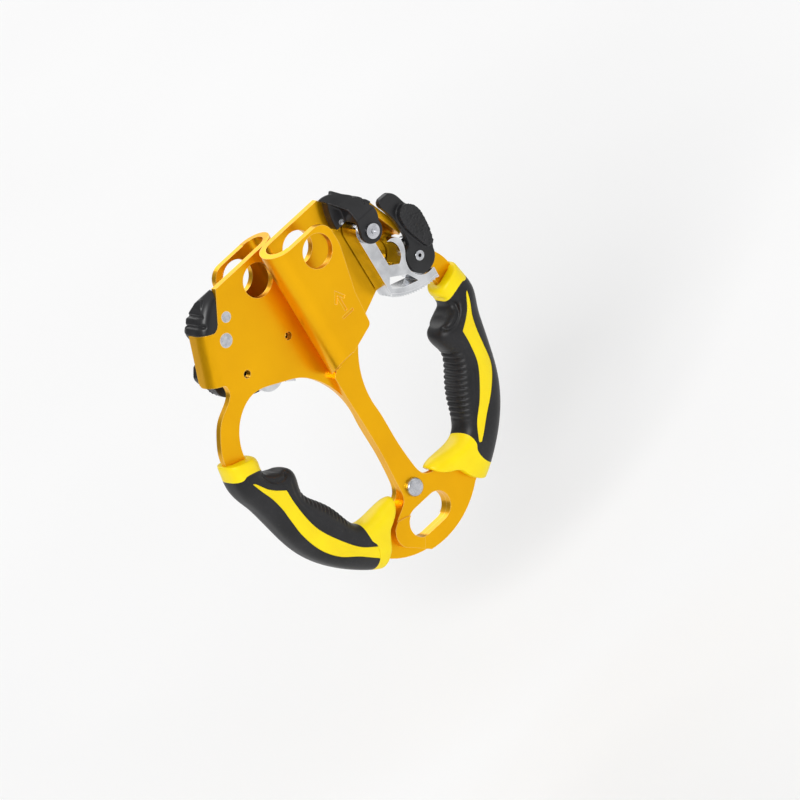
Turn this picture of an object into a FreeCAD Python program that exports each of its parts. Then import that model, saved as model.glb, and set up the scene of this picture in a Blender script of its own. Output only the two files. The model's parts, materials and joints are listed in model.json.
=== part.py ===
import FreeCAD, Part
import math
import os

from FreeCAD import Placement, Rotation, Vector

# Twin-handled rope clamp: two identical handled halves, the left one turned 180 degrees about Z.
# Frame, mm: origin at the centre of the shared attachment hole, +Z up, +X towards the right handle.
# Depth is measured towards the viewer, along -Y, from the plane where the two plates touch.

PLATE = 3.5                      # sheet thickness
CHANNEL_X, CHANNEL_DEPTH = 1.2, 10.2     # centre of the rope channel's U bend
CHANNEL_RADIUS = 6.7             # inner radius: takes ropes up to 13 mm
TOP = 168.0                      # top edge of the plates
UPPER_HOLE = (12.8, 156.1)
UPPER_HOLE_RADIUS = 8.75
ATTACHMENT_HALF_WIDTH, ATTACHMENT_HALF_HEIGHT = 13.5, 7.8
LUG_CENTRE_Z, LUG_RADIUS = 29.0, 45.0    # the round bottom edge
TOOLING_HOLES = ((14.2, 122.6), (43.9, 122.4))
TOOLING_HOLE_RADIUS = 2.0
EAR_STEP = 0.7
ARROW, ENGRAVING = (9.6, 122.0), 0.35

FLANGE_TOP, FLANGE_BOTTOM = (47.9, 150.7), (57.3, 125.8)     # bend line of the rolled flange
FLANGE_RADIUS, FLANGE_DEPTH, FLANGE_CORNER = 7.0, 12.0, 3.0

RIVET_Z, RIVET_SHAFT, RIVET_HEAD, RIVET_HEAD_HEIGHT = 17.0, 3.2, 4.75, 2.4

AXLE = (44.2, 143.6)             # the cam's axle
AXLE_RADIUS = 3.0
AXLE_HEAD, AXLE_BACK_HEAD = 3.8, 3.6
HEAD_SINK = 1.0                  # the rear heads sit flush in the plate's back
BORE_CLEARANCE = 0.06
CAM_BACK, CAM_FRONT = 4.2, 15.8  # depths of the cam's two faces
CAM_BOSS = 7.0
TOOTH_START, TOOTH_END = -100.9, -65.6   # directions from the axle, degrees, cam open
TOOTH_START_RADIUS, TOOTH_END_RADIUS = 37.1, 49.6
TEETH, TOOTH_DEPTH, RIM_STEP = 18, 0.9, 2.2
LOBE_BACK, LOBE_FRONT, LOBE_RADIUS = 17.0, 19.5, 6.45    # part of the cap that carries the axle's end
LEFT_CAM_ANGLE = 52.0            # the left cam is half closed, the right one is fully open

TRIGGER_PIVOT = (61.2, 114.6)
TRIGGER_ROUND = 7.6
TRIGGER_HEEL, HEEL_RADIUS, HEEL_CLEARANCE = (61.9, 113.3), 8.2, 0.9     # round lower end of the lever
TRIGGER_BACK, TRIGGER_LEVER, TRIGGER_FRONT, TRIGGER_PAD = 7.8, 12.6, 16.2, 19.6
PIVOT_RADIUS, PIVOT_HEAD = 1.8, 2.6

CAP_RIVET, CAP_RIVET_SHAFT, CAP_RIVET_HEAD = (37.7, 153.0), 1.4, 2.75
CAP_DEPTH, CAP_FOOT = 14.5, 9.0
# Side view of what is sloped off the cap's top: depth and height.
CAP_SLOPE = [(-1.0, 169.6), (3.5, 168.3), (9.0, 165.6), (12.5, 162.4), (15.5, 158.2), (19.6, 152.6),
             (22.0, 152.6), (22.0, 175.0), (-1.0, 175.0)]

# Grip sections from top to bottom: outer edge, inner edge, half thickness.
GRIP_SECTIONS = (
    ((84.3, 95.0), (67.9, 89.4), 8.6),
    ((84.6, 86.0), (65.0, 81.0), 9.8),
    ((83.2, 77.0), (62.0, 75.5), 10.4),
    ((80.6, 69.5), (52.2, 70.8), 10.5),
    ((77.8, 61.0), (52.4, 59.8), 10.5),
    ((74.4, 46.0), (47.6, 46.5), 10.5),
    ((69.6, 30.5), (41.0, 33.5), 10.4),
    ((50.5, 5.0), (30.5, 20.2), 9.4),
    ((31.0, -7.5), (10.0, 18.4), 6.8),
)
STRIPE_DEPTH = 6.5               # the stripes' floor, from the middle of the grip


def at(x, z, depth=0.0):
    return Vector(x, -depth, z)


def outline(start, *pieces):
    """Closed wire in the X-Z plane: a point makes a line, a pair of points an arc, a list a smooth curve."""
    edges = []
    here = start
    for piece in pieces:
        if isinstance(piece, list):
            curve = Part.BSplineCurve()
            curve.interpolate([at(*here)] + [at(*point) for point in piece])
            edges.append(curve.toShape())
            here = piece[-1]
        elif isinstance(piece[0], tuple):
            middle, end = piece
            edges.append(Part.Arc(at(*here), at(*middle), at(*end)).toShape())
            here = end
        else:
            edges.append(Part.makeLine(at(*here), at(*piece)))
            here = piece
    if math.dist(here, start) > 1e-6:
        edges.append(Part.makeLine(at(*here), at(*start)))
    return Part.Wire(edges)


def slab(wire, back, front):
    """Solid between two depths with the wire as its outline."""
    face = Part.Face(wire)
    face.translate(Vector(0, -back, 0))
    return face.extrude(Vector(0, back - front, 0))


def rod(centre, radius, back, front):
    return Part.makeCylinder(radius, front - back, at(*centre, back), Vector(0, -1, 0))


def ring(centre, outer, inner, back, front):
    return rod(centre, outer, back, front).cut(rod(centre, inner, back, front))


def polar(centre, radius, degrees):
    angle = math.radians(degrees)
    return (centre[0] + radius * math.cos(angle), centre[1] + radius * math.sin(angle))


def fuse(first, *others):
    return first.multiFuse(list(others)).removeSplitter()


def round_corners(solid, radius, *corners):
    """Rounds the front-to-back edges that stand at the given corners."""
    chosen = []
    for edge in solid.Edges:
        centre = edge.CenterOfMass
        straight = isinstance(edge.Curve, (Part.Line, Part.LineSegment))
        along = straight and abs(edge.tangentAt(edge.FirstParameter).y) > 0.99
        if along and any(math.dist((centre.x, centre.z), corner) < 0.3 for corner in corners):
            chosen.append(edge)
    return solid.makeFillet(radius, chosen)


def coil(centre, back, turns, pitch, radius, wire):
    """Torsion spring round an axis that runs front to back."""
    helix = Part.makeLongHelix(pitch, pitch * turns, radius)
    profile = Part.Wire(Part.makeCircle(wire, Vector(radius, 0, 0), Vector(0, 1, 0)))
    spring = Part.Wire(helix.Edges).makePipeShell([profile], True, True)
    spring.Placement = Placement(at(*centre, back + wire), Rotation(Vector(1, 0, 0), 90))
    return spring


def attachment_hole():
    """The oval hole that both plates share."""
    straight = ATTACHMENT_HALF_WIDTH - ATTACHMENT_HALF_HEIGHT
    high = ATTACHMENT_HALF_HEIGHT
    return outline((-straight, high), (straight, high), ((ATTACHMENT_HALF_WIDTH, 0), (straight, -high)),
                   (-straight, -high), ((-ATTACHMENT_HALF_WIDTH, 0), (-straight, high)))


def flat_outline():
    """Outside of the plate's flat part: channel side, top, arm, lug, far ear and strut."""
    bottom_left = (-9.0, LUG_CENTRE_Z - math.sqrt(LUG_RADIUS ** 2 - 81.0))
    return outline(
        (CHANNEL_X, TOP), (34.9, TOP), (43.2, 154.0), ((44.8, 151.8), FLANGE_TOP), FLANGE_BOTTOM,
        [(58.4, 119.6), (62.5, 116.6), (69.0, 112.8), (74.6, 106.0), (78.6, 98.0), (79.6, 88.0),
         (76.2, 68.0), (71.6, 47.0), (65.0, 28.0), (54.0, 13.5), (42.0, 3.5), (30.5, -4.1)],
        ((0.0, LUG_CENTRE_Z - LUG_RADIUS), bottom_left), (-18.6, -6.2), ((-22.8, 1.4), (-18.4, 8.4)),
        [(-13.0, 11.6), (-8.8, 14.6), (-7.0, 22.4), (-5.8, 40.0), (-5.8, 66.0), (-6.2, 90.0)],
        (CHANNEL_X, 97.0))


def hand_opening():
    """The opening that the fingers go through, between strut and arm."""
    return outline(
        (5.0, 62.0),
        [(6.6, 80.2), (12.5, 92.7), (20.8, 101.6), (31.6, 107.1), (47.0, 112.2), (56.0, 109.4),
         (65.8, 98.6), (68.3, 90.0), (65.6, 70.0), (60.5, 50.0), (52.0, 32.0), (38.0, 19.8), (24.0, 16.6),
         (13.0, 16.2), (8.7, 18.6), (6.0, 27.2), (5.0, 44.0), (5.0, 62.0)])


def rope_channel():
    """The U bend: half a tube along Z, open to the right, with its lower end cut on a slope."""
    outer = CHANNEL_RADIUS + PLATE
    height = TOP - 84.0
    centre = at(CHANNEL_X, 84.0, CHANNEL_DEPTH)
    bend = Part.makeCylinder(outer, height, centre).cut(Part.makeCylinder(CHANNEL_RADIUS, height, centre))
    bend = bend.common(Part.makeBox(outer, 2 * outer, height, centre - Vector(outer, outer, 0)))
    low = Part.makePolygon([Vector(-30, 5, 80), Vector(-30, 5, 91), Vector(-30, -PLATE, 92.5),
                            Vector(-30, -21, 103), Vector(-30, -21, 80), Vector(-30, 5, 80)])
    high = Part.makePolygon([Vector(-30, -PLATE, TOP), Vector(-30, -21, TOP - 1.4), Vector(-30, -21, TOP + 2),
                             Vector(-30, -PLATE, TOP + 2), Vector(-30, -PLATE, TOP)])
    for wedge in (low, high):
        bend = bend.cut(Part.Face(wedge).extrude(Vector(60, 0, 0)))
    return bend


def channel_lip():
    """The flat lip in front of the rope channel, with its rounded upper corner and tapering edge."""
    back = CHANNEL_DEPTH + CHANNEL_RADIUS
    front = back + PLATE
    top = TOP - 1.4
    lip = slab(outline((CHANNEL_X, top), (25.2, top), (25.2, 151.0), (18.9, 126.0), (17.2, 107.4),
                       (CHANNEL_X, 102.0)), back, front)
    lip = round_corners(lip, 8.0, (25.2, top))
    lip = round_corners(lip, 12.0, (25.2, 151.0))
    return round_corners(lip, 3.0, (17.2, 107.4))


def up_arrow():
    """Shallow engraving on the lip: an arrow that shows which way up the clamp goes."""
    front = CHANNEL_DEPTH + CHANNEL_RADIUS + PLATE
    x, z = ARROW
    head = outline((x, z + 12.0), (x - 3.6, z + 6.4), (x - 2.4, z + 5.4), (x, z + 9.0), (x + 2.4, z + 5.4),
                   (x + 3.6, z + 6.4))
    stem = outline((x - 0.7, z), (x + 0.7, z), (x + 0.7, z + 8.4), (x - 0.7, z + 8.4))
    bar = outline((x - 3.6, z - 2.6), (x + 3.6, z - 2.6), (x + 3.6, z - 1.4), (x - 3.6, z - 1.4))
    return Part.makeCompound([slab(wire, front - ENGRAVING, front + 1.0) for wire in (head, stem, bar)])


def rolled_flange():
    """The outer edge of the plate, rolled forward round a quarter circle."""
    along = Vector(FLANGE_TOP[0] - FLANGE_BOTTOM[0], 0, FLANGE_TOP[1] - FLANGE_BOTTOM[1])
    outward = Vector(along.z, 0, -along.x).normalize()
    start = at(*FLANGE_BOTTOM)

    def point(out, depth):
        return start + outward * out + Vector(0, -depth, 0)

    inner = FLANGE_RADIUS - PLATE
    diagonal = math.sqrt(0.5)
    section = Part.Wire([
        Part.Arc(point(0, 0), point(FLANGE_RADIUS * diagonal, FLANGE_RADIUS * (1 - diagonal)),
                 point(FLANGE_RADIUS, FLANGE_RADIUS)).toShape(),
        Part.makeLine(point(FLANGE_RADIUS, FLANGE_RADIUS), point(FLANGE_RADIUS, FLANGE_DEPTH)),
        Part.makeLine(point(FLANGE_RADIUS, FLANGE_DEPTH), point(inner, FLANGE_DEPTH)),
        Part.makeLine(point(inner, FLANGE_DEPTH), point(inner, FLANGE_RADIUS)),
        Part.Arc(point(inner, FLANGE_RADIUS), point(inner * diagonal, FLANGE_RADIUS - inner * diagonal),
                 point(0, PLATE)).toShape(),
        Part.makeLine(point(0, PLATE), point(0, 0))])
    flange = Part.Face(section).extrude(along)
    corner = point(FLANGE_RADIUS - PLATE / 2, FLANGE_DEPTH)
    lower_corner = [edge for edge in flange.Edges if edge.CenterOfMass.distanceToPoint(corner) < 0.1]
    return flange.makeFillet(FLANGE_CORNER, lower_corner)


def ear_step():
    """The far ear is pressed forward a little; this is the raised pad."""
    pressed = outline((-26.0, 9.6), (-18.0, 9.0), [(-13.2, 8.0), (-7.6, 5.7)], (-7.6, -4.0),
                      [(-9.6, -8.4), (-14.0, -14.0)], (-26.0, -14.0))
    return slab(flat_outline(), PLATE, PLATE + EAR_STEP).common(slab(pressed, PLATE, PLATE + EAR_STEP))


def frame_plate():
    plate = slab(flat_outline(), 0.0, PLATE).cut(slab(hand_opening(), -1.0, PLATE + 1.0))
    plate = fuse(plate, rope_channel(), channel_lip(), rolled_flange(), ear_step())
    plate = plate.cut(slab(attachment_hole(), -1.0, PLATE + 2.0))
    holes = [rod(UPPER_HOLE, UPPER_HOLE_RADIUS, -1.0, 22.0),
             rod((0.0, RIVET_Z), RIVET_SHAFT, -1.0, PLATE + 1.0),
             rod(AXLE, AXLE_RADIUS, -1.0, PLATE + 1.0),
             rod(AXLE, AXLE_BACK_HEAD, -1.0, HEAD_SINK),
             rod(CAP_RIVET, CAP_RIVET_SHAFT, -1.0, PLATE + 1.0),
             rod(CAP_RIVET, CAP_RIVET_HEAD, -1.0, HEAD_SINK)]
    holes += [rod(hole, TOOLING_HOLE_RADIUS, -1.0, PLATE + 1.0) for hole in TOOLING_HOLES]
    return plate.cut(Part.makeCompound(holes)).cut(up_arrow())


def spiral(degrees, inset=0.0):
    """Point of the cam's toothed spiral in a direction from the axle."""
    share = (degrees - TOOTH_START) / (TOOTH_END - TOOTH_START)
    radius = TOOTH_START_RADIUS + share * (TOOTH_END_RADIUS - TOOTH_START_RADIUS)
    return polar(AXLE, radius - inset, degrees)


def cam_outline():
    """Side view of the skeleton cam, open: left bar, toothed rim, cup for the trigger, free right arm."""
    step = (TOOTH_END - TOOTH_START) / TEETH
    teeth = []
    for tooth in range(TEETH):
        base = TOOTH_START + tooth * step
        teeth.append(spiral(base, TOOTH_DEPTH))
        teeth.append(spiral(base + 0.8 * step))
    left = AXLE[0] - CAM_BOSS
    return outline(
        (left, AXLE[1]), *teeth, spiral(TOOTH_END), (65.0, 104.2), (61.0, 105.0),
        ((54.2, 110.4), (54.6, 119.4)), [(56.9, 124.5), (56.9, 128.9)], ((53.8, 131.2), (49.9, 131.8)),
        [(52.8, 129.4), (53.9, 124.6), (52.4, 120.6), (49.6, 118.4)], (AXLE[0], 121.6),
        (AXLE[0], AXLE[1] - CAM_BOSS), (polar(AXLE, CAM_BOSS, -45), (AXLE[0] + CAM_BOSS, AXLE[1])),
        ((AXLE[0], AXLE[1] + CAM_BOSS), (left, AXLE[1])))


def rim_zone(inset):
    """Outline of what lies outside a line that follows the toothed rim."""
    inner = [spiral(TOOTH_START + share * (TOOTH_END - TOOTH_START), inset)
             for share in (0.25, 0.5, 0.75, 1.0)]
    outside = [polar(AXLE, TOOTH_END_RADIUS + 3, angle) for angle in (TOOTH_END, -83.0, TOOTH_START)]
    return outline(spiral(TOOTH_START, inset), inner, outside[0], (outside[1], outside[2]))


def cam():
    body = slab(cam_outline(), CAM_BACK, CAM_FRONT)
    window = outline((41.5, 116.4), (39.6, 113.8), (39.5, 111.0), (45.2, 107.4), (54.0, 104.7), (50.8, 110.9))
    body = body.cut(slab(window, CAM_BACK - 1, CAM_FRONT + 1))
    body = fuse(body, rod(TRIGGER_PIVOT, TRIGGER_ROUND + 1.2, CAM_BACK, TRIGGER_BACK - 0.3))
    body = body.cut(rod(AXLE, AXLE_RADIUS + BORE_CLEARANCE, 0, 20))
    body = body.cut(rod(AXLE, CAM_BOSS - 1.4, 10.6, 20))
    body = body.cut(rod(TRIGGER_PIVOT, PIVOT_RADIUS, 0, 20))
    body = body.cut(rod(TRIGGER_PIVOT, TRIGGER_ROUND + 0.5, TRIGGER_BACK - 0.3, 20))
    body = body.cut(rod(TRIGGER_HEEL, HEEL_RADIUS + HEEL_CLEARANCE, TRIGGER_LEVER - 0.4, 20))
    for depth in (7.0, 9.6, 12.2):
        body = body.cut(slab(rim_zone(TOOTH_DEPTH), depth, depth + 0.8))
    return body.cut(slab(rim_zone(RIM_STEP), CAM_FRONT - 0.7, CAM_FRONT + 1))


def cam_axle():
    shaft = rod(AXLE, AXLE_RADIUS, 0.0, LOBE_FRONT)
    rear_head = rod(AXLE, AXLE_BACK_HEAD, 0.0, HEAD_SINK)
    head = rod(AXLE, AXLE_HEAD, LOBE_FRONT, LOBE_FRONT + 1.1)
    dimple = Part.makeCone(0.6, 1.6, 0.7, at(*AXLE, LOBE_FRONT + 0.41), Vector(0, -1, 0))
    return fuse(shaft, rear_head, head).cut(dimple)


def cam_spacer():
    return ring(AXLE, 6.0, AXLE_RADIUS, PLATE, CAM_BACK - 0.05)


def cam_washer():
    return ring(AXLE, 6.4, AXLE_RADIUS, CAM_FRONT + 0.05, LOBE_BACK)


def cam_spring():
    return coil(AXLE, 10.65, 4, 1.05, 4.3, 0.4)


def trigger():
    """Thumb trigger: a round end in the cam's cup and a lever that passes in front of the rolled flange."""
    lever_outline = outline(
        (55.2, 110.2), [(56.0, 116.0), (59.3, 122.5), (60.2, 130.0), (59.1, 139.0), (57.2, 146.0)],
        [(56.6, 149.6), (58.8, 151.3)], (63.6, 151.0), [(66.8, 147.8), (68.4, 143.0), (69.8, 139.4)],
        [(72.4, 136.6), (73.4, 130.6), (72.8, 121.0), (69.4, 111.0)])
    lever = slab(lever_outline, TRIGGER_LEVER, TRIGGER_FRONT)
    heel = rod(TRIGGER_HEEL, HEEL_RADIUS, TRIGGER_LEVER, TRIGGER_FRONT)
    pad_outline = outline(
        (66.2, 116.4), [(64.0, 122.4), (61.7, 129.4), (61.0, 136.4)], [(62.8, 140.9), (65.8, 142.2)],
        [(69.4, 140.2), (72.0, 136.4), (72.6, 130.8), (71.6, 122.0), (69.8, 116.4)])
    pad = slab(pad_outline, TRIGGER_FRONT - 1.0, TRIGGER_PAD)
    body = fuse(rod(TRIGGER_PIVOT, TRIGGER_ROUND, TRIGGER_BACK, TRIGGER_FRONT), lever, heel, pad)
    body = body.cut(rod(TRIGGER_PIVOT, PIVOT_RADIUS + BORE_CLEARANCE, 0, 20))
    return body.cut(rod(TRIGGER_PIVOT, TRIGGER_ROUND - 2.0, TRIGGER_BACK - 1, 11.0))


def trigger_pivot():
    shaft = rod(TRIGGER_PIVOT, PIVOT_RADIUS, CAM_BACK, TRIGGER_FRONT)
    head = rod(TRIGGER_PIVOT, PIVOT_HEAD, TRIGGER_FRONT + 0.05, TRIGGER_FRONT + 0.5)
    neck = rod(TRIGGER_PIVOT, PIVOT_RADIUS, TRIGGER_FRONT, TRIGGER_FRONT + 0.5)
    return fuse(shaft, neck, head).cut(rod(TRIGGER_PIVOT, 0.9, CAM_BACK, TRIGGER_FRONT + 1))


def trigger_spring():
    return coil(TRIGGER_PIVOT, TRIGGER_BACK + 0.1, 3, 0.8, 3.6, 0.3)


def corner_cap():
    """Moulded cap: a body on the flange's top end, and a lobe that reaches over the cam to the axle."""
    across = Vector(FLANGE_TOP[1] - FLANGE_BOTTOM[1], 0, FLANGE_BOTTOM[0] - FLANGE_TOP[0]).normalize()
    flange_corner = at(*FLANGE_TOP) + across * FLANGE_RADIUS
    corner = (flange_corner.x, flange_corner.z)
    body = slab(outline((34.9, TOP), [(41.6, 166.8), (47.0, 162.9), (51.8, 157.4), corner], FLANGE_TOP,
                        ((44.8, 151.8), (43.2, 154.0))), 0.0, CAP_DEPTH)
    rim = [edge for edge in body.Edges
           if abs(edge.BoundBox.YMin) < 1e-3 and abs(edge.BoundBox.YMax) < 1e-3 and edge.Length > 20
           and edge.BoundBox.ZMax > TOP - 1 and isinstance(edge.Curve, Part.BSplineCurve)]
    body = body.makeFillet(6.0, rim)
    lobe = outline((50.4, 145.4), [(52.0, 149.6), (51.4, 154.4), (47.6, 161.4), (44.0, 166.6)],
                   ((43.0, 167.4), (42.2, 166.8)), [(41.0, 160.0), (39.8, 152.4), (37.9, 145.0)],
                   (polar(AXLE, LOBE_RADIUS, -90.0), (50.4, 145.4)))
    front = slab(lobe, LOBE_BACK, LOBE_FRONT)
    post = slab(lobe, PLATE, LOBE_FRONT).common(Part.makeBox(40, 30, 30, Vector(30, -25, 151.6)))
    foot = slab(outline((33.6, 151.2), (43.6, 151.6), (43.2, 154.0), (36.4, 165.4),
                        [(34.4, 160.0), (33.6, 151.2)]), PLATE, CAP_FOOT)
    slope = Part.makePolygon([at(30, depth_z[1], depth_z[0]) for depth_z in CAP_SLOPE + CAP_SLOPE[:1]])
    cap = fuse(body, front, post, foot).cut(Part.Face(slope).extrude(Vector(30, 0, 0))).cut(rolled_flange())
    cap = cap.cut(rod(AXLE, AXLE_RADIUS, LOBE_BACK - 1, LOBE_FRONT + 1))
    return cap.cut(rod(CAP_RIVET, CAP_RIVET_SHAFT, PLATE, CAP_FOOT))


def cap_rivet():
    head = rod(CAP_RIVET, CAP_RIVET_HEAD, 0.0, HEAD_SINK)
    return fuse(rod(CAP_RIVET, CAP_RIVET_SHAFT, 0.0, CAP_FOOT), head)


def grip_section(outer, inner, half_thickness):
    """Rounded section across the grip, square to the plate."""
    middle = ((outer[0] + inner[0]) / 2, (outer[1] + inner[1]) / 2)
    half = ((outer[0] - inner[0]) / 2, (outer[1] - inner[1]) / 2)
    points = []
    for step in range(16):
        angle = 2 * math.pi * step / 16
        across = math.copysign(abs(math.cos(angle)) ** 0.8, math.cos(angle))
        deep = math.copysign(abs(math.sin(angle)) ** 0.8, math.sin(angle)) * half_thickness
        points.append(at(middle[0] + across * half[0], middle[1] + across * half[1], PLATE / 2 + deep))
    curve = Part.BSplineCurve()
    curve.interpolate(points, PeriodicFlag=True)
    return Part.Wire(curve.toShape())


def whole_grip():
    """The grip's outer form, moulded round the arm, with a saddle for the finger and clear of both lugs."""
    form = Part.makeLoft([grip_section(*section) for section in GRIP_SECTIONS], True)
    lower_end = outline((0, 22), (11.6, 19.4),
                        [(13.4, 16.4), (17.0, 12.8), (24.6, 8.0), (27.2, 2.8), (31.0, -2.2), (35.6, -5.6)],
                        (38, -14), (0, -14))
    saddle = outline((51.6, 73.4), [(55.4, 72.7), (58.4, 73.4), (62.1, 75.9), (64.6, 79.4), (66.2, 83.0)],
                     (58.0, 88.0), (48.0, 78.0))
    arm = slab(flat_outline(), 0.0, PLATE).cut(slab(hand_opening(), -1.0, PLATE + 1.0))
    return form.cut(slab(lower_end, -20, 24)).cut(slab(saddle, -20, 24)).cut(arm)


def collar_zone():
    return slab(outline((58, 79.6), [(64.4, 80.6), (70.0, 83.6), (76.0, 85.4), (80.5, 84.8), (90.0, 87.6)],
                        (90, 102), (58, 102)), -20, 24)


def boot_zone():
    return slab(outline((26, 30), [(33.6, 26.6), (38.2, 22.4), (39.2, 15.6), (37.6, 11.2), (38.8, 5.8),
                                   (43.0, 0.2), (50.0, -6.0)], (50, -16), (0, -16), (0, 30)), -20, 24)


def stripe(front):
    """Inlaid stripe: it narrows to a point in front and runs into the boot at the back."""
    upper = [(67.2, 41.1), (68.8, 52.5), (71.4, 67.6), (76.4, 79.6)]
    if front:
        lower = [(62.0, 57.0), (59.8, 46.0), (52.0, 33.0), (44.6, 24.0), (40.2, 16.0)], \
                ((39.6, 13.8), (41.2, 13.6)), [(50.6, 23.0), (60.0, 31.6)] + upper
        back, ahead = PLATE / 2 + STRIPE_DEPTH, 24
    else:
        lower = [(62.0, 57.0), (60.6, 46.0), (57.7, 36.7), (51.3, 25.5), (43.6, 15.1), (36.0, 9.0)], \
                (38.0, 3.0), [(46.5, 11.0), (56.1, 18.7), (63.1, 28.9)] + upper
        back, ahead = -20, PLATE / 2 - STRIPE_DEPTH
    edge = outline((62.2, 65.8), *lower, ((76.2, 80.5), (75.2, 79.9)),
                   [(70.6, 73.2), (66.8, 69.3), (62.2, 65.8)])
    return slab(edge, back, ahead)


def grip_body():
    body = whole_grip().cut(collar_zone()).cut(boot_zone())
    return body.cut(stripe(True)).cut(stripe(False))


def grip_collar():
    return whole_grip().common(collar_zone())


def grip_boot():
    return whole_grip().common(boot_zone())


def front_stripe():
    return whole_grip().common(stripe(True)).cut(boot_zone()).cut(collar_zone())


def rear_stripe():
    return whole_grip().common(stripe(False)).cut(boot_zone()).cut(collar_zone())


def main_rivet():
    """Joins the two plates; a low domed head on each side."""
    shaft = rod((0.0, RIVET_Z), RIVET_SHAFT, -PLATE, PLATE)
    heads = []
    for side in (1, -1):
        foot = at(0.0, RIVET_Z, side * PLATE)
        head = Part.makeCylinder(RIVET_HEAD, RIVET_HEAD_HEIGHT, foot, Vector(0, -side, 0))
        top = PLATE + RIVET_HEAD_HEIGHT
        rim = [edge for edge in head.Edges if abs(abs(edge.CenterOfMass.y) - top) < 1e-3]
        heads.append(head.makeFillet(1.4, rim))
    return fuse(shaft, *heads)


FIXED = (frame_plate, cam_axle, cam_spacer, cam_washer, cam_spring, corner_cap, cap_rivet,
         grip_body, grip_collar, grip_boot, front_stripe, rear_stripe)
WITH_CAM = (cam, trigger, trigger_pivot, trigger_spring)


def write(name, shape):
    shape = shape.Solids[0] if len(shape.Solids) == 1 else shape
    shape.exportStep("parts/" + name + ".step")
    print(name, len(shape.Solids), shape.isValid(), round(shape.Volume))


def left(shape):
    """The same piece in the left half."""
    turned = shape.copy()
    turned.rotate(Vector(0, 0, 0), Vector(0, 0, 1), 180)
    return turned


def swung(shape, degrees):
    """The piece after the cam has swung shut by an angle."""
    turned = shape.copy()
    turned.rotate(at(*AXLE), Vector(0, 1, 0), degrees)
    return turned


os.makedirs("parts", exist_ok=True)
for build in FIXED:
    shape = build()
    write("right_" + build.__name__, shape)
    write("left_" + build.__name__, left(shape))
for build in WITH_CAM:
    shape = build()
    write("right_" + build.__name__, shape)
    write("left_" + build.__name__, left(swung(shape, LEFT_CAM_ANGLE)))
write("main_rivet", main_rivet())
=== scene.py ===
import json
import math

import bmesh
import bpy
import numpy as np
from mathutils import Matrix, Vector, noise


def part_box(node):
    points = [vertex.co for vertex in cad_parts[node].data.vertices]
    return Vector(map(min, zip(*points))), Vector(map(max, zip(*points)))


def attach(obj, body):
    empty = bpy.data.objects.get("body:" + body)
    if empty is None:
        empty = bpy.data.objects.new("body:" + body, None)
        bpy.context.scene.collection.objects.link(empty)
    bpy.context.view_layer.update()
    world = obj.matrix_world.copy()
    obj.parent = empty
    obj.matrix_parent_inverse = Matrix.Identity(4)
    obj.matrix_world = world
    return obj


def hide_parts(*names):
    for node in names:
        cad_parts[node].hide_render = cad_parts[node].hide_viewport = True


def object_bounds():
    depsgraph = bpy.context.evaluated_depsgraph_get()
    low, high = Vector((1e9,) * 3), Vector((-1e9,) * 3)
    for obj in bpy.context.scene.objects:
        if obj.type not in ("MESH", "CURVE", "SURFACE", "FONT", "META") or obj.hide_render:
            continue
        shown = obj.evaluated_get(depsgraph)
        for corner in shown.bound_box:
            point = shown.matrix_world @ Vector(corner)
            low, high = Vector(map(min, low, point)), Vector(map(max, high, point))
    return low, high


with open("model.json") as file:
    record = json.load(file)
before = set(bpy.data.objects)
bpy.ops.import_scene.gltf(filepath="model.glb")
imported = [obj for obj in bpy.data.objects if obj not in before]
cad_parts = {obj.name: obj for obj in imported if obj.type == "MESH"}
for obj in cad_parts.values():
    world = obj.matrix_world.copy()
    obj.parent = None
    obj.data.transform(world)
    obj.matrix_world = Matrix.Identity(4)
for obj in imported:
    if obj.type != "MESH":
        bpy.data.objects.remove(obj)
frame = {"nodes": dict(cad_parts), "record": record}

cad_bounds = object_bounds()
NODES = frame["nodes"]
MM = 0.001

# Camera: where it looks from and how it is rolled, found from the photograph's viewing angle.
VIEW_RIGHT = Vector((0.66924, -0.57856, -0.46626))
VIEW_UP = Vector((0.62344, 0.09578, 0.77599))
CAMERA_DISTANCE = 8.0            # far away, because the photograph shows hardly any perspective
FRAME_WIDTH = 0.3902             # what the square picture spans at the object
RIVET = Vector((0.0, 0.0, 0.017))
RIVET_IN_VIEW = Vector((0.00463, -0.04195))   # from the picture's middle, to the right and up
FLOOR_DROP, FLOOR_HALF = 0.10, 12.0           # the floor's distance below the object, and half its width

SIDES = {"right": 1, "left": -1}     # the left half is the right half turned by 180 degrees about Z


# ---------------------------------------------------------------- materials

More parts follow.
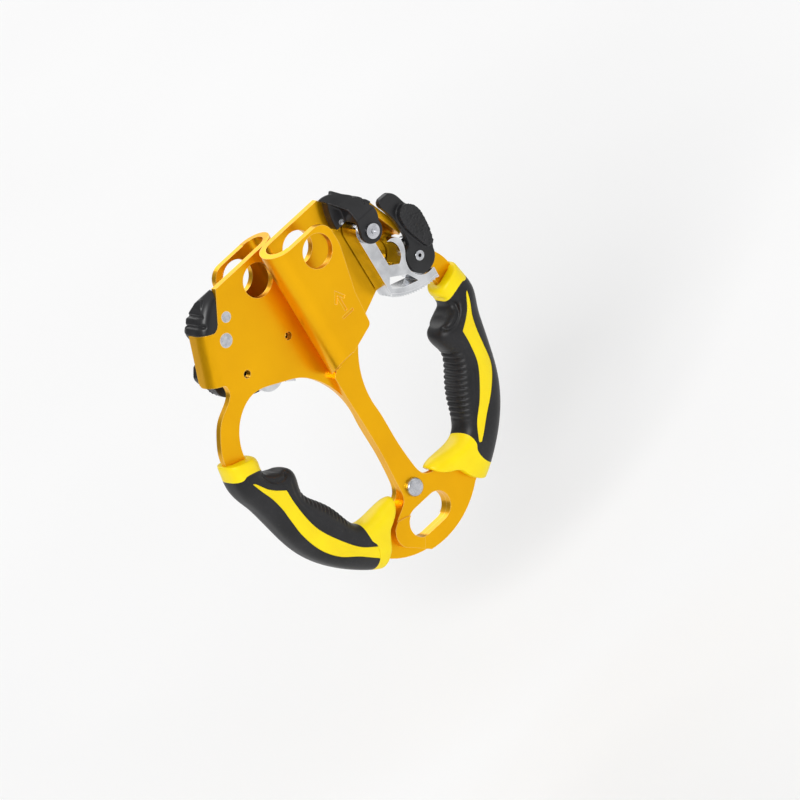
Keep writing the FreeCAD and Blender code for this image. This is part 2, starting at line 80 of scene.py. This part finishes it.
class Nodes:
    """Small helper that builds a material's node tree."""

    def __init__(self, name):
        self.material = bpy.data.materials.new(name)
        self.material.use_nodes = True
        self.tree = self.material.node_tree
        self.shader = self.tree.nodes["Principled BSDF"]

    def add(self, kind, **values):
        node = self.tree.nodes.new(kind)
        for key, value in values.items():
            if key in node.inputs:
                node.inputs[key].default_value = value
            else:
                setattr(node, key, value)
        return node

    def link(self, source, target):
        self.tree.links.new(source, target)

    def position(self, scale=(1.0, 1.0, 1.0), offset=(0.0, 0.0, 0.0)):
        """Object position in metres, scaled along each axis and then moved."""
        place = self.add("ShaderNodeTexCoord")
        mapping = self.add("ShaderNodeMapping")
        mapping.inputs["Scale"].default_value = scale
        mapping.inputs["Location"].default_value = offset
        self.link(place.outputs["Object"], mapping.inputs["Vector"])
        return mapping.outputs["Vector"]

    def noise(self, scale, detail=3.0, stretch=(1.0, 1.0, 1.0)):
        texture = self.add("ShaderNodeTexNoise")
        texture.inputs["Scale"].default_value = scale
        texture.inputs["Detail"].default_value = detail
        self.link(self.position(stretch), texture.inputs["Vector"])
        return texture.outputs["Fac"]

    def ramp(self, source, *stops):
        """Colour ramp: each stop is (place, colour)."""
        ramp = self.add("ShaderNodeValToRGB")
        elements = ramp.color_ramp.elements
        while len(elements) < len(stops):
            elements.new(0.5)
        for element, (place, colour) in zip(elements, stops):
            element.position = place
            element.color = (*colour, 1.0)
        self.link(source, ramp.inputs["Fac"])
        return ramp.outputs["Color"]

    def scaled(self, source, low, high, at_low=0.0, at_high=1.0):
        node = self.add("ShaderNodeMapRange")
        for key, value in (("From Min", at_low), ("From Max", at_high), ("To Min", low), ("To Max", high)):
            node.inputs[key].default_value = value
        self.link(source, node.inputs["Value"])
        return node.outputs["Result"]

    def mix(self, factor, first, second):
        node = self.add("ShaderNodeMix", data_type="RGBA")
        self.link(factor, node.inputs["Factor"])
        for socket, value in ((node.inputs[6], first), (node.inputs[7], second)):
            if isinstance(value, tuple):
                socket.default_value = (*value, 1.0)
            else:
                self.link(value, socket)
        return node.outputs[2]

    def edges(self, width):
        """1 on broken edges, 0 elsewhere, from the difference between bevelled and true normals; the
        materials use it to paint a highlight on the edges.
        """
        bevel = self.add("ShaderNodeBevel", samples=6)
        bevel.inputs["Radius"].default_value = width
        geometry = self.add("ShaderNodeNewGeometry")
        dot = self.add("ShaderNodeVectorMath", operation="DOT_PRODUCT")
        self.link(bevel.outputs["Normal"], dot.inputs[0])
        self.link(geometry.outputs["Normal"], dot.inputs[1])
        return self.scaled(dot.outputs["Value"], 1.0, 0.0, 0.80, 0.985)

    def bump(self, source, strength, distance, previous=None):
        node = self.add("ShaderNodeBump")
        node.inputs["Strength"].default_value = strength
        node.inputs["Distance"].default_value = distance
        self.link(source, node.inputs["Height"])
        if previous is not None:
            self.link(previous, node.inputs["Normal"])
        return node.outputs["Normal"]

    def finish(self, colour=None, roughness=None, normal=None, **values):
        for socket, source in (("Base Color", colour), ("Roughness", roughness), ("Normal", normal)):
            if source is not None:
                self.link(source, self.shader.inputs[socket])
        for key, value in values.items():
            self.shader.inputs[key.replace("_", " ")].default_value = value
        return self.material


def anodised_gold():
    """Gold anodised sheet: satin, faint rolling grain, and a painted highlight in a lighter colour on the
    broken edges.
    """
    n = Nodes("anodised_gold")
    cloud = n.noise(35.0, 2.0)
    tone = n.ramp(cloud, (0.30, (0.84, 0.410, 0.001)), (0.70, (0.91, 0.460, 0.001)))
    # painted highlight: the broken edges are mixed towards a light gold
    colour = n.mix(n.edges(0.0006), tone, (1.0, 0.66, 0.16))
    grain = n.noise(900.0, 3.0, (1.0, 1.0, 0.12))
    speck = n.noise(5200.0, 1.0)
    normal = n.bump(speck, 0.10, 0.00003, n.bump(grain, 0.06, 0.00005))
    return n.finish(colour, n.scaled(grain, 0.26, 0.36), normal, Metallic=0.9, Coat_Weight=0.06,
                    Coat_Roughness=0.2)


def chromed_steel():
    """Cast and chromed cam: bright, with a soft unevenness."""
    n = Nodes("chromed_steel")
    cloud = n.noise(160.0, 4.0)
    tone = n.ramp(cloud, (0.35, (0.50, 0.51, 0.53)), (0.70, (0.70, 0.71, 0.73)))
    # painted highlight: the edges are mixed towards near white
    colour = n.mix(n.edges(0.0005), tone, (0.95, 0.95, 0.95))
    pits = n.noise(2600.0, 4.0)
    return n.finish(colour, n.scaled(cloud, 0.10, 0.24), n.bump(pits, 0.12, 0.00005), Metallic=1.0)


def turned_steel(name, centre):
    """Rivet head turned in rings about its centre, slightly dull."""
    n = Nodes(name)
    cloud = n.noise(420.0, 3.0)
    tone = n.ramp(cloud, (0.3, (0.42, 0.43, 0.46)), (0.75, (0.66, 0.67, 0.70)))
    # painted highlight: the edges are mixed towards light grey
    colour = n.mix(n.edges(0.0004), tone, (0.85, 0.85, 0.86))
    place = n.position(offset=(-centre.x, 0.0, -centre.z), scale=(1.0, 0.0, 1.0))
    rings = n.add("ShaderNodeTexWave", wave_type="RINGS", rings_direction="SPHERICAL")
    rings.inputs["Scale"].default_value = 620.0
    rings.inputs["Distortion"].default_value = 1.2
    n.link(place, rings.inputs["Vector"])
    normal = n.bump(rings.outputs["Fac"], 0.30, 0.00006)
    return n.finish(colour, n.scaled(cloud, 0.20, 0.36), normal, Metallic=1.0)


def spring_wire():
    n = Nodes("spring_wire")
    cloud = n.noise(900.0, 3.0)
    tone = n.ramp(cloud, (0.3, (0.22, 0.22, 0.24)), (0.7, (0.45, 0.46, 0.48)))
    return n.finish(tone, n.scaled(cloud, 0.25, 0.45), n.bump(cloud, 0.1, 0.00003), Metallic=1.0)


def black_nylon():
    """Glass-filled nylon: near black, eroded mould grain, with edges painted a little lighter as a
    highlight.
    """
    n = Nodes("black_nylon")
    cloud = n.noise(90.0, 4.0)
    tone = n.ramp(cloud, (0.3, (0.010, 0.010, 0.011)), (0.75, (0.020, 0.020, 0.022)))
    # painted highlight: the edges are mixed towards a lighter grey
    colour = n.mix(n.edges(0.0006), tone, (0.07, 0.07, 0.075))
    grain = n.noise(3800.0, 4.0)
    return n.finish(colour, n.scaled(cloud, 0.26, 0.38), n.bump(grain, 0.15, 0.00005),
                    Specular_IOR_Level=0.34)


def black_rubber():
    """Moulded rubber: dark grey, matt, with a fine leathery grain."""
    n = Nodes("black_rubber")
    cloud = n.noise(60.0, 4.0)
    tone = n.ramp(cloud, (0.3, (0.009, 0.009, 0.010)), (0.75, (0.020, 0.020, 0.022)))
    dust = n.noise(700.0, 5.0)
    colour = n.mix(n.scaled(dust, 0.0, 0.35, 0.55, 0.80), tone, (0.045, 0.044, 0.042))
    cells = n.add("ShaderNodeTexVoronoi")
    cells.inputs["Scale"].default_value = 2400.0
    n.link(n.position(), cells.inputs["Vector"])
    normal = n.bump(dust, 0.12, 0.0001, n.bump(cells.outputs["Distance"], 0.22, 0.00007))
    return n.finish(colour, n.scaled(cloud, 0.36, 0.50), normal, Specular_IOR_Level=0.30)


def yellow_rubber():
    """Bright yellow soft plastic: satin, slightly translucent, faint flow marks."""
    n = Nodes("yellow_rubber")
    cloud = n.noise(70.0, 3.0)
    tone = n.ramp(cloud, (0.3, (0.88, 0.66, 0.001)), (0.75, (0.95, 0.75, 0.001)))
    grain = n.noise(3000.0, 3.0)
    flow = n.noise(240.0, 2.0)
    normal = n.bump(flow, 0.10, 0.0002, n.bump(grain, 0.12, 0.00005))
    return n.finish(tone, n.scaled(cloud, 0.32, 0.46), normal, Specular_IOR_Level=0.28,
                    Subsurface_Weight=0.12, Subsurface_Radius=(0.002, 0.0012, 0.0003))


MATERIALS = {
    "anodised_plate": anodised_gold(),
    "cam_steel": chromed_steel(),
    "spring_steel": spring_wire(),
    "black_nylon": black_nylon(),
    "black_rubber": black_rubber(),
    "yellow_rubber": yellow_rubber(),
}
SLOT = {entry["node"]: entry["material_slot"] for entry in frame["record"]["subparts"]}


def paint(piece, slot):
    if slot == "rivet_steel":
        low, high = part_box(piece.name)
        material = turned_steel("turned_" + piece.name, (Vector(low) + Vector(high)) / 2)
    else:
        material = MATERIALS[slot]
    piece.data.materials.clear()
    piece.data.materials.append(material)


# ---------------------------------------------------------------- CAD pieces

# Width of the broken edge in mm; what isn't listed gets the least.
BEVELS = {"anodised_plate": 0.35, "cam_steel": 0.35, "rivet_steel": 0.2, "black_nylon": 0.5}
LEAST_BEVEL, BEVEL_ANGLE = 0.05, 32
SHARP_ANGLE = 50                  # sculpted pieces keep a sharp edge above this angle
WELD = 0.000002


def dress(name):
    """Welds, edge-breaks and smooths a CAD node without touching its mesh, and paints it."""
    piece = NODES[name]
    mesh = piece.data
    if "custom_normal" in mesh.attributes:
        mesh.attributes.remove(mesh.attributes["custom_normal"])
    mesh.shade_smooth()
    weld = piece.modifiers.new("weld", "WELD")
    weld.merge_threshold = WELD
    bevel = piece.modifiers.new("edge", "BEVEL")
    bevel.width = BEVELS.get(SLOT[name], LEAST_BEVEL) * MM
    bevel.segments = 2
    bevel.limit_method = "ANGLE"
    bevel.angle_limit = math.radians(BEVEL_ANGLE)
    bevel.harden_normals = True
    bevel.use_clamp_overlap = True
    paint(piece, SLOT[name])


# ---------------------------------------------------------------- mesh helpers

def add_object(name, mesh):
    piece = bpy.data.objects.new(name, mesh)
    bpy.context.scene.collection.objects.link(piece)
    return piece


def apply_modifiers(piece):
    graph = bpy.context.evaluated_depsgraph_get()
    piece.data = bpy.data.meshes.new_from_object(piece.evaluated_get(graph), depsgraph=graph)
    piece.modifiers.clear()


def remeshed(name, nodes, voxel, smoothing):
    """One fine, even mesh with the form of several CAD nodes together, ready to be sculpted."""
    together = bmesh.new()
    for node in nodes:
        part = bmesh.new()
        part.from_mesh(NODES[node].data)
        bmesh.ops.remove_doubles(part, verts=part.verts, dist=WELD)
        welded = bpy.data.meshes.new("welded")
        part.to_mesh(welded)
        part.free()
        together.from_mesh(welded)
        bpy.data.meshes.remove(welded)
    mesh = bpy.data.meshes.new(name)
    together.to_mesh(mesh)
    together.free()
    piece = add_object(name, mesh)
    remesh = piece.modifiers.new("remesh", "REMESH")
    remesh.mode = "VOXEL"
    remesh.voxel_size = voxel * MM * 1.0
    smooth = piece.modifiers.new("smooth", "SMOOTH")
    smooth.factor = 0.5
    smooth.iterations = smoothing
    apply_modifiers(piece)
    return piece


def smooth_line(points, steps=8):
    """Catmull-Rom curve through the points."""
    padded = np.array([points[0], *points, points[-1]], float)
    line = []
    for a, b, c, d in zip(padded, padded[1:], padded[2:], padded[3:]):
        for t in np.arange(steps) / steps:
            line.append(0.5 * (2 * b + (c - a) * t + (2 * a - 5 * b + 4 * c - d) * t ** 2
                               + (3 * b - a - 3 * c + d) * t ** 3))
    return [tuple(point) for point in line] + [tuple(points[-1])]


def prism(points, back, front, turn, shift=(0.0, 0.0)):
    """Closed block with an X-Z outline, between two depths; its back is moved by shift. All in mm."""
    count = len(points)
    corners = [(turn * (x + dx) * MM, -turn * depth * MM, (z + dz) * MM)
               for depth, (dx, dz) in ((back, shift), (front, (0.0, 0.0))) for x, z in points]
    sides = [(i, (i + 1) % count, count + (i + 1) % count, count + i) for i in range(count)]
    mesh = bpy.data.meshes.new("prism")
    mesh.from_pydata(corners, [], [tuple(range(count)), tuple(range(count, 2 * count)), *sides])
    work = bmesh.new()
    work.from_mesh(mesh)
    bmesh.ops.recalc_face_normals(work, faces=work.faces)
    work.to_mesh(mesh)
    work.free()
    return add_object("prism", mesh)


def carve(piece, operation, *cutters):
    for cutter in cutters:
        boolean = piece.modifiers.new("carve", "BOOLEAN")
        boolean.operation = operation
        boolean.solver = "MANIFOLD"
        boolean.object = cutter
        apply_modifiers(piece)
    return piece


def copy_of(piece, name):
    return add_object(name, piece.data.copy())


def near_line(flat, line):
    """For each point: its distance from a chain of points, and the length along the chain."""
    gap = np.full(len(flat), 1e9)
    along = np.zeros(len(flat))
    travelled = 0.0
    for start, end in zip(np.array(line[:-1]), np.array(line[1:])):
        run = end - start
        length = np.hypot(*run)
        share = np.clip((flat - start) @ run / length ** 2, 0.0, 1.0)
        distance = np.linalg.norm(flat - start - share[:, None] * run, axis=1)
        nearer = distance < gap
        gap[nearer] = distance[nearer]
        along[nearer] = travelled + share[nearer] * length
        travelled += length
    return gap, along


def fade(low, high, values):
    """0 below low, 1 above high, smooth between."""
    share = np.clip((values - low) / (high - low), 0.0, 1.0)
    return share * share * (3.0 - 2.0 * share)


def read_points(mesh, turn):
    """Vertex places in mm in the right half's axes (x, depth, z), and outward normals as they are."""
    places = np.empty(len(mesh.vertices) * 3)
    normals = np.empty(len(mesh.vertices) * 3)
    mesh.vertices.foreach_get("co", places)
    mesh.vertices.foreach_get("normal", normals)
    places = places.reshape(-1, 3)
    return places, normals.reshape(-1, 3), places / MM * (turn, -turn, 1.0)


def push_out(mesh, places, normals, move):
    """Moves each vertex along its normal by an amount in mm."""
    moved = places + normals * (move * MM)[:, None]
    mesh.vertices.foreach_set("co", moved.ravel())
    mesh.update()


def finish_piece(piece, slot, body, *nodes):
    piece.data.shade_smooth()
    piece.data.set_sharp_from_angle(angle=math.radians(SHARP_ANGLE))
    paint(piece, slot)
    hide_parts(*nodes)
    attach(piece, body)


# ---------------------------------------------------------------- grips

GRIP_VOXEL, GRIP_SMOOTHING = 0.55, 12
GRIP_MIDDLE = 1.75                # the grip is centred on the plate's thickness
STRIPE_FLOOR = 5.6                # the stripes' inlay starts this far from the grip's middle
STRIPE_SINK = 0.22                # how far each stripe's face lies below the rubber
CUTTER_REACH = 30.0               # depth that clears the whole grip
NOTCH_PITCH, FINGER_NOTCH_WIDTH, FINGER_NOTCH_DEPTH = 2.7, 0.60, 0.85
NOTCHES_START, NOTCHES_END = (2.0, 6.0), (34.0, 40.0)     # along FINGER_EDGE, where they fade in and out
NOTCH_FADE = (2.0, 6.0)           # distances from FINGER_EDGE over which they fade out
FACE_FADE = (4.5, 7.5)            # depths from the middle where the side becomes the face

# Lines on the grip, right half, in mm (x, z).
COLLAR = smooth_line(((56.0, 79.4), (64.4, 80.6), (70.0, 83.6), (76.0, 85.4), (80.5, 84.8), (94.0, 88.8)))
COLLAR += [(94.0, 106.0), (56.0, 106.0)]
BOOT = smooth_line(((22.0, 31.6), (33.6, 26.6), (37.6, 22.0), (38.4, 15.6), (37.0, 11.4), (38.2, 5.6),
                    (42.4, 0.2), (54.0, -8.4)))
BOOT += [(54.0, -18.0), (-2.0, -18.0), (-2.0, 31.6)]
STRIPE_TOP = ((76.2, 80.4), (74.6, 79.6), (70.6, 73.2), (66.8, 69.3))
STRIPE_CORNER = (62.2, 65.8)
STRIPE_OUTER = ((67.2, 41.1), (68.8, 52.5), (69.6, 60.0), (71.4, 67.6), (74.2, 74.4), (76.2, 80.4))
FRONT_INNER = (STRIPE_CORNER, (62.0, 57.0), (59.8, 46.0), (52.0, 33.0), (44.6, 24.0), (40.6, 17.0),
               (39.5, 14.2), (40.9, 13.3))
FRONT_OUTER = ((40.9, 13.3), (44.4, 16.6), (50.6, 23.0), (60.0, 31.6)) + STRIPE_OUTER
REAR_INNER = (STRIPE_CORNER, (62.0, 57.0), (60.6, 46.0), (57.7, 36.7), (51.3, 25.5), (43.6, 15.1),
              (36.0, 9.0), (29.0, 4.0))
REAR_OUTER = ((31.0, -3.0), (38.0, 3.0), (46.5, 11.0), (56.1, 18.7), (63.1, 28.9)) + STRIPE_OUTER
FRONT_STRIPE = smooth_line(STRIPE_TOP) + smooth_line(FRONT_INNER) + smooth_line(FRONT_OUTER)[1:-1]
REAR_STRIPE = smooth_line(STRIPE_TOP) + smooth_line(REAR_INNER) + smooth_line(REAR_OUTER)[:-1]
FINGER_EDGE = smooth_line(((52.6, 63.0), (51.4, 55.0), (46.0, 44.0), (40.8, 34.0), (36.6, 26.0)))
SADDLE_LINE = smooth_line(((67.4, 78.4), (65.9, 74.6), (63.3, 72.2), (59.8, 70.9), (56.9, 71.2),
                           (55.6, 72.6)))
CREASE = smooth_line(((57.0, 66.5), (58.6, 58.0), (56.6, 46.5), (51.5, 36.5), (46.0, 28.0)))
BOOT_HALF = 14.0                  # more than half of the grip's thickness
BOOT_SHIFT = (-2.6, -3.2)         # the boot starts lower down on the rear face than on the front face
COLLAR_MIDDLE = np.array((72.0, 87.0))
COLLAR_OUTWARD = np.array((0.925, 0.380))     # across the collar, towards its outer corner
COLLAR_TAPER = 0.24               # share by which the collar's outer side is drawn in
TAPER_LENGTH = 26.0               # the taper fades out this far below the collar's middle


def sculpt_grip(mesh, turn):
    """Finger notches, the saddle beside the ledge, a crease along the stripe and the collar's taper."""
    places, normals, local = read_points(mesh, turn)
    flat = local[:, [0, 2]]
    off_middle = np.abs(local[:, 1] - GRIP_MIDDLE)
    gap, along = near_line(flat, FINGER_EDGE)
    off_notch = (along + NOTCH_PITCH / 2) % NOTCH_PITCH - NOTCH_PITCH / 2
    reach = (1.0 - fade(*NOTCH_FADE, gap)) * fade(*NOTCHES_START, along) * (1.0 - fade(*NOTCHES_END, along))
    move = -FINGER_NOTCH_DEPTH * np.exp(-(off_notch / FINGER_NOTCH_WIDTH) ** 2) * reach
    saddle, _ = near_line(flat, SADDLE_LINE)
    on_face = fade(*FACE_FADE, off_middle)
    move -= (0.9 * np.exp(-(saddle / 0.9) ** 2) + 0.5 * np.exp(-(saddle / 2.6) ** 2)) * on_face
    crease, _ = near_line(flat, CREASE)
    move -= 0.28 * np.exp(-(crease / 0.8) ** 2) * on_face
    outward = (flat - COLLAR_MIDDLE) @ COLLAR_OUTWARD
    below = (COLLAR_MIDDLE - flat) @ np.array((-COLLAR_OUTWARD[1], COLLAR_OUTWARD[0]))
    inward = COLLAR_TAPER * np.clip(outward, 0.0, None) * (1.0 - fade(0.0, TAPER_LENGTH, below))
    across = np.array((turn * COLLAR_OUTWARD[0], 0.0, COLLAR_OUTWARD[1]))
    push_out(mesh, places - (inward * MM)[:, None] * across, normals, move)


def sink(piece, turn, amount):
    """Lowers a stripe's face below the rubber round it."""
    places, normals, local = read_points(piece.data, turn)
    outer = np.abs(local[:, 1] - GRIP_MIDDLE) > STRIPE_FLOOR + 0.4
    push_out(piece.data, places, normals, -amount * outer)


def build_grip(side, turn):
    soft = ("grip_body", "grip_collar", "grip_boot", "front_stripe", "rear_stripe")
    form = remeshed(side + "_grip_form", [side + "_" + node for node in soft], GRIP_VOXEL, GRIP_SMOOTHING)
    sculpt_grip(form.data, turn)
    collar = prism(COLLAR, -CUTTER_REACH, CUTTER_REACH, turn)
    boot = prism(BOOT, GRIP_MIDDLE - BOOT_HALF, GRIP_MIDDLE + BOOT_HALF, turn, BOOT_SHIFT)
    front = prism(FRONT_STRIPE, GRIP_MIDDLE + STRIPE_FLOOR, CUTTER_REACH, turn)
    rear = prism(REAR_STRIPE, -CUTTER_REACH, GRIP_MIDDLE - STRIPE_FLOOR, turn)

    rubber = carve(copy_of(form, side + "_rubber_grip"), "DIFFERENCE", collar, boot, front, rear)
    finish_piece(rubber, "black_rubber", "frame", side + "_grip_body")
    top = carve(copy_of(form, side + "_yellow_collar"), "INTERSECT", collar)
    finish_piece(top, "yellow_rubber", "frame", side + "_grip_collar")
    bottom = carve(copy_of(form, side + "_yellow_boot"), "INTERSECT", boot)
    finish_piece(bottom, "yellow_rubber", "frame", side + "_grip_boot")
    for zone, cutter in (("front", front), ("rear", rear)):
        inlay = carve(copy_of(form, side + "_yellow_" + zone + "_stripe"), "INTERSECT", cutter)
        carve(inlay, "DIFFERENCE", boot)
        sink(inlay, turn, STRIPE_SINK)
        finish_piece(inlay, "yellow_rubber", "frame", side + "_" + zone + "_stripe")
    for spare in (form, collar, boot, front, rear):
        bpy.data.objects.remove(spare)


# ---------------------------------------------------------------- moulded nylon

NYLON_VOXEL, TRIGGER_SMOOTHING, CAP_SMOOTHING = 0.32, 7, 10
PAD_DEPTH = 17.6                  # what stands further out than this is the trigger's thumb pad
PEBBLE_SCALE, PEBBLE_HEIGHT = 850.0, 0.55     # pebbles per metre, and mm


def build_trigger(side, turn):
    """Moulded trigger: soft edges, and a pebbled thumb pad."""
    piece = remeshed(side + "_thumb_trigger", [side + "_trigger"], NYLON_VOXEL, TRIGGER_SMOOTHING)
    places, normals, local = read_points(piece.data, turn)
    pad = fade(PAD_DEPTH, PAD_DEPTH + 0.8, local[:, 1])
    pebbles = np.array([noise.noise(Vector(place) * PEBBLE_SCALE) for place in places])
    push_out(piece.data, places, normals, PEBBLE_HEIGHT * pad * np.abs(pebbles))
    finish_piece(piece, "black_nylon", side + "_trigger", side + "_trigger")


CAP_EDGE = Vector((47.9, 150.7))  # lower outer corner of the cap, right half, in mm (x, z)
CAP_RISE = Vector((-0.3534, 0.9355))          # direction of the cap's outer edge
CAP_NOTCHES = (4.5, 9.5)          # places along that edge
CAP_NOTCH_WIDTH, CAP_NOTCH_DEPTH = 0.75, 0.9
CAP_BEND = (2.6, 4.0)             # distances outside the edge over which the notches fade in


def build_cap(side, turn):
    """Moulded corner cap: soft edges, with two finger notches across its outer bend."""
    piece = remeshed(side + "_moulded_cap", [side + "_corner_cap"], NYLON_VOXEL, CAP_SMOOTHING)
    places, normals, local = read_points(piece.data, turn)
    flat = local[:, [0, 2]] - np.array(CAP_EDGE)
    along = flat @ np.array(CAP_RISE)
    outward = flat @ np.array((CAP_RISE.y, -CAP_RISE.x))
    notches = sum(np.exp(-((along - place) / CAP_NOTCH_WIDTH) ** 2) for place in CAP_NOTCHES)
    push_out(piece.data, places, normals, -CAP_NOTCH_DEPTH * notches * fade(*CAP_BEND, outward))
    finish_piece(piece, "black_nylon", "frame", side + "_corner_cap")


# ---------------------------------------------------------------- stage

def stage():
    floor_mesh = bpy.data.meshes.new("floor")
    level = cad_bounds[0].z - FLOOR_DROP
    corners = [(x * FLOOR_HALF, y * FLOOR_HALF, level) for x, y in ((-1, -1), (1, -1), (1, 1), (-1, 1))]
    floor_mesh.from_pydata(corners, [], [(0, 1, 2, 3)])
    floor = add_object("floor", floor_mesh)
    n = Nodes("pale_floor")
    cloud = n.noise(3.0, 2.0)
    n.finish(n.ramp(cloud, (0.3, (0.90, 0.90, 0.90)), (0.7, (0.93, 0.93, 0.93))), n.scaled(cloud, 0.7, 0.8))
    floor_mesh.materials.append(n.material)
    studio()
    soft_sun("key", (-0.62, -0.70, 0.55), 1.65, 22.0)
    soft_sun("fill", (0.75, -0.60, 0.45), 0.35, 50.0)
    soft_sun("back", (0.30, 0.85, 0.60), 0.55, 40.0)


def studio():
    """Surroundings: white overhead, greyer towards the horizon, for polished metal to show."""
    world = bpy.data.worlds.new("studio")
    world.use_nodes = True
    tree = world.node_tree
    place = tree.nodes.new("ShaderNodeTexCoord")
    split = tree.nodes.new("ShaderNodeSeparateXYZ")
    ramp = tree.nodes.new("ShaderNodeValToRGB")
    stops = ((0.0, 0.16), (0.42, 0.30), (0.56, 0.66), (1.0, 0.84))
    elements = ramp.color_ramp.elements
    while len(elements) < len(stops):
        elements.new(0.5)
    for element, (height, grey) in zip(elements, stops):
        element.position = height
        element.color = (grey, grey, grey, 1.0)
    tree.links.new(place.outputs["Generated"], split.inputs["Vector"])
    tree.links.new(split.outputs["Z"], ramp.inputs["Fac"])
    tree.links.new(ramp.outputs["Color"], tree.nodes["Background"].inputs["Color"])
    bpy.context.scene.world = world
    bpy.context.scene.view_settings.view_transform = "Standard"


def soft_sun(name, direction, strength, spread):
    """Even studio light from far away; spread is its size in degrees."""
    light = bpy.data.lights.new(name, "SUN")
    light.energy = strength
    light.angle = math.radians(spread)
    lamp = bpy.data.objects.new(name, light)
    lamp.rotation_euler = Vector(direction).to_track_quat("Z", "Y").to_euler()
    bpy.context.scene.collection.objects.link(lamp)


def camera():
    back = VIEW_RIGHT.cross(VIEW_UP).normalized()
    up = back.cross(VIEW_RIGHT.normalized())
    right = VIEW_RIGHT.normalized()
    target = RIVET - right * RIVET_IN_VIEW.x - up * RIVET_IN_VIEW.y
    data = bpy.data.cameras.new("camera")
    data.sensor_width = 36.0
    data.lens = 36.0 * CAMERA_DISTANCE / FRAME_WIDTH
    data.clip_end = 40.0
    seen = bpy.data.objects.new("camera", data)
    turn = Matrix((right, up, back)).transposed().to_4x4()
    seen.matrix_world = Matrix.Translation(target + back * CAMERA_DISTANCE) @ turn
    bpy.context.scene.collection.objects.link(seen)
    bpy.context.scene.camera = seen


for node_name in NODES:
    dress(node_name)
for side, turn in SIDES.items():
    build_grip(side, turn)
    build_trigger(side, turn)
    build_cap(side, turn)
stage()
camera()
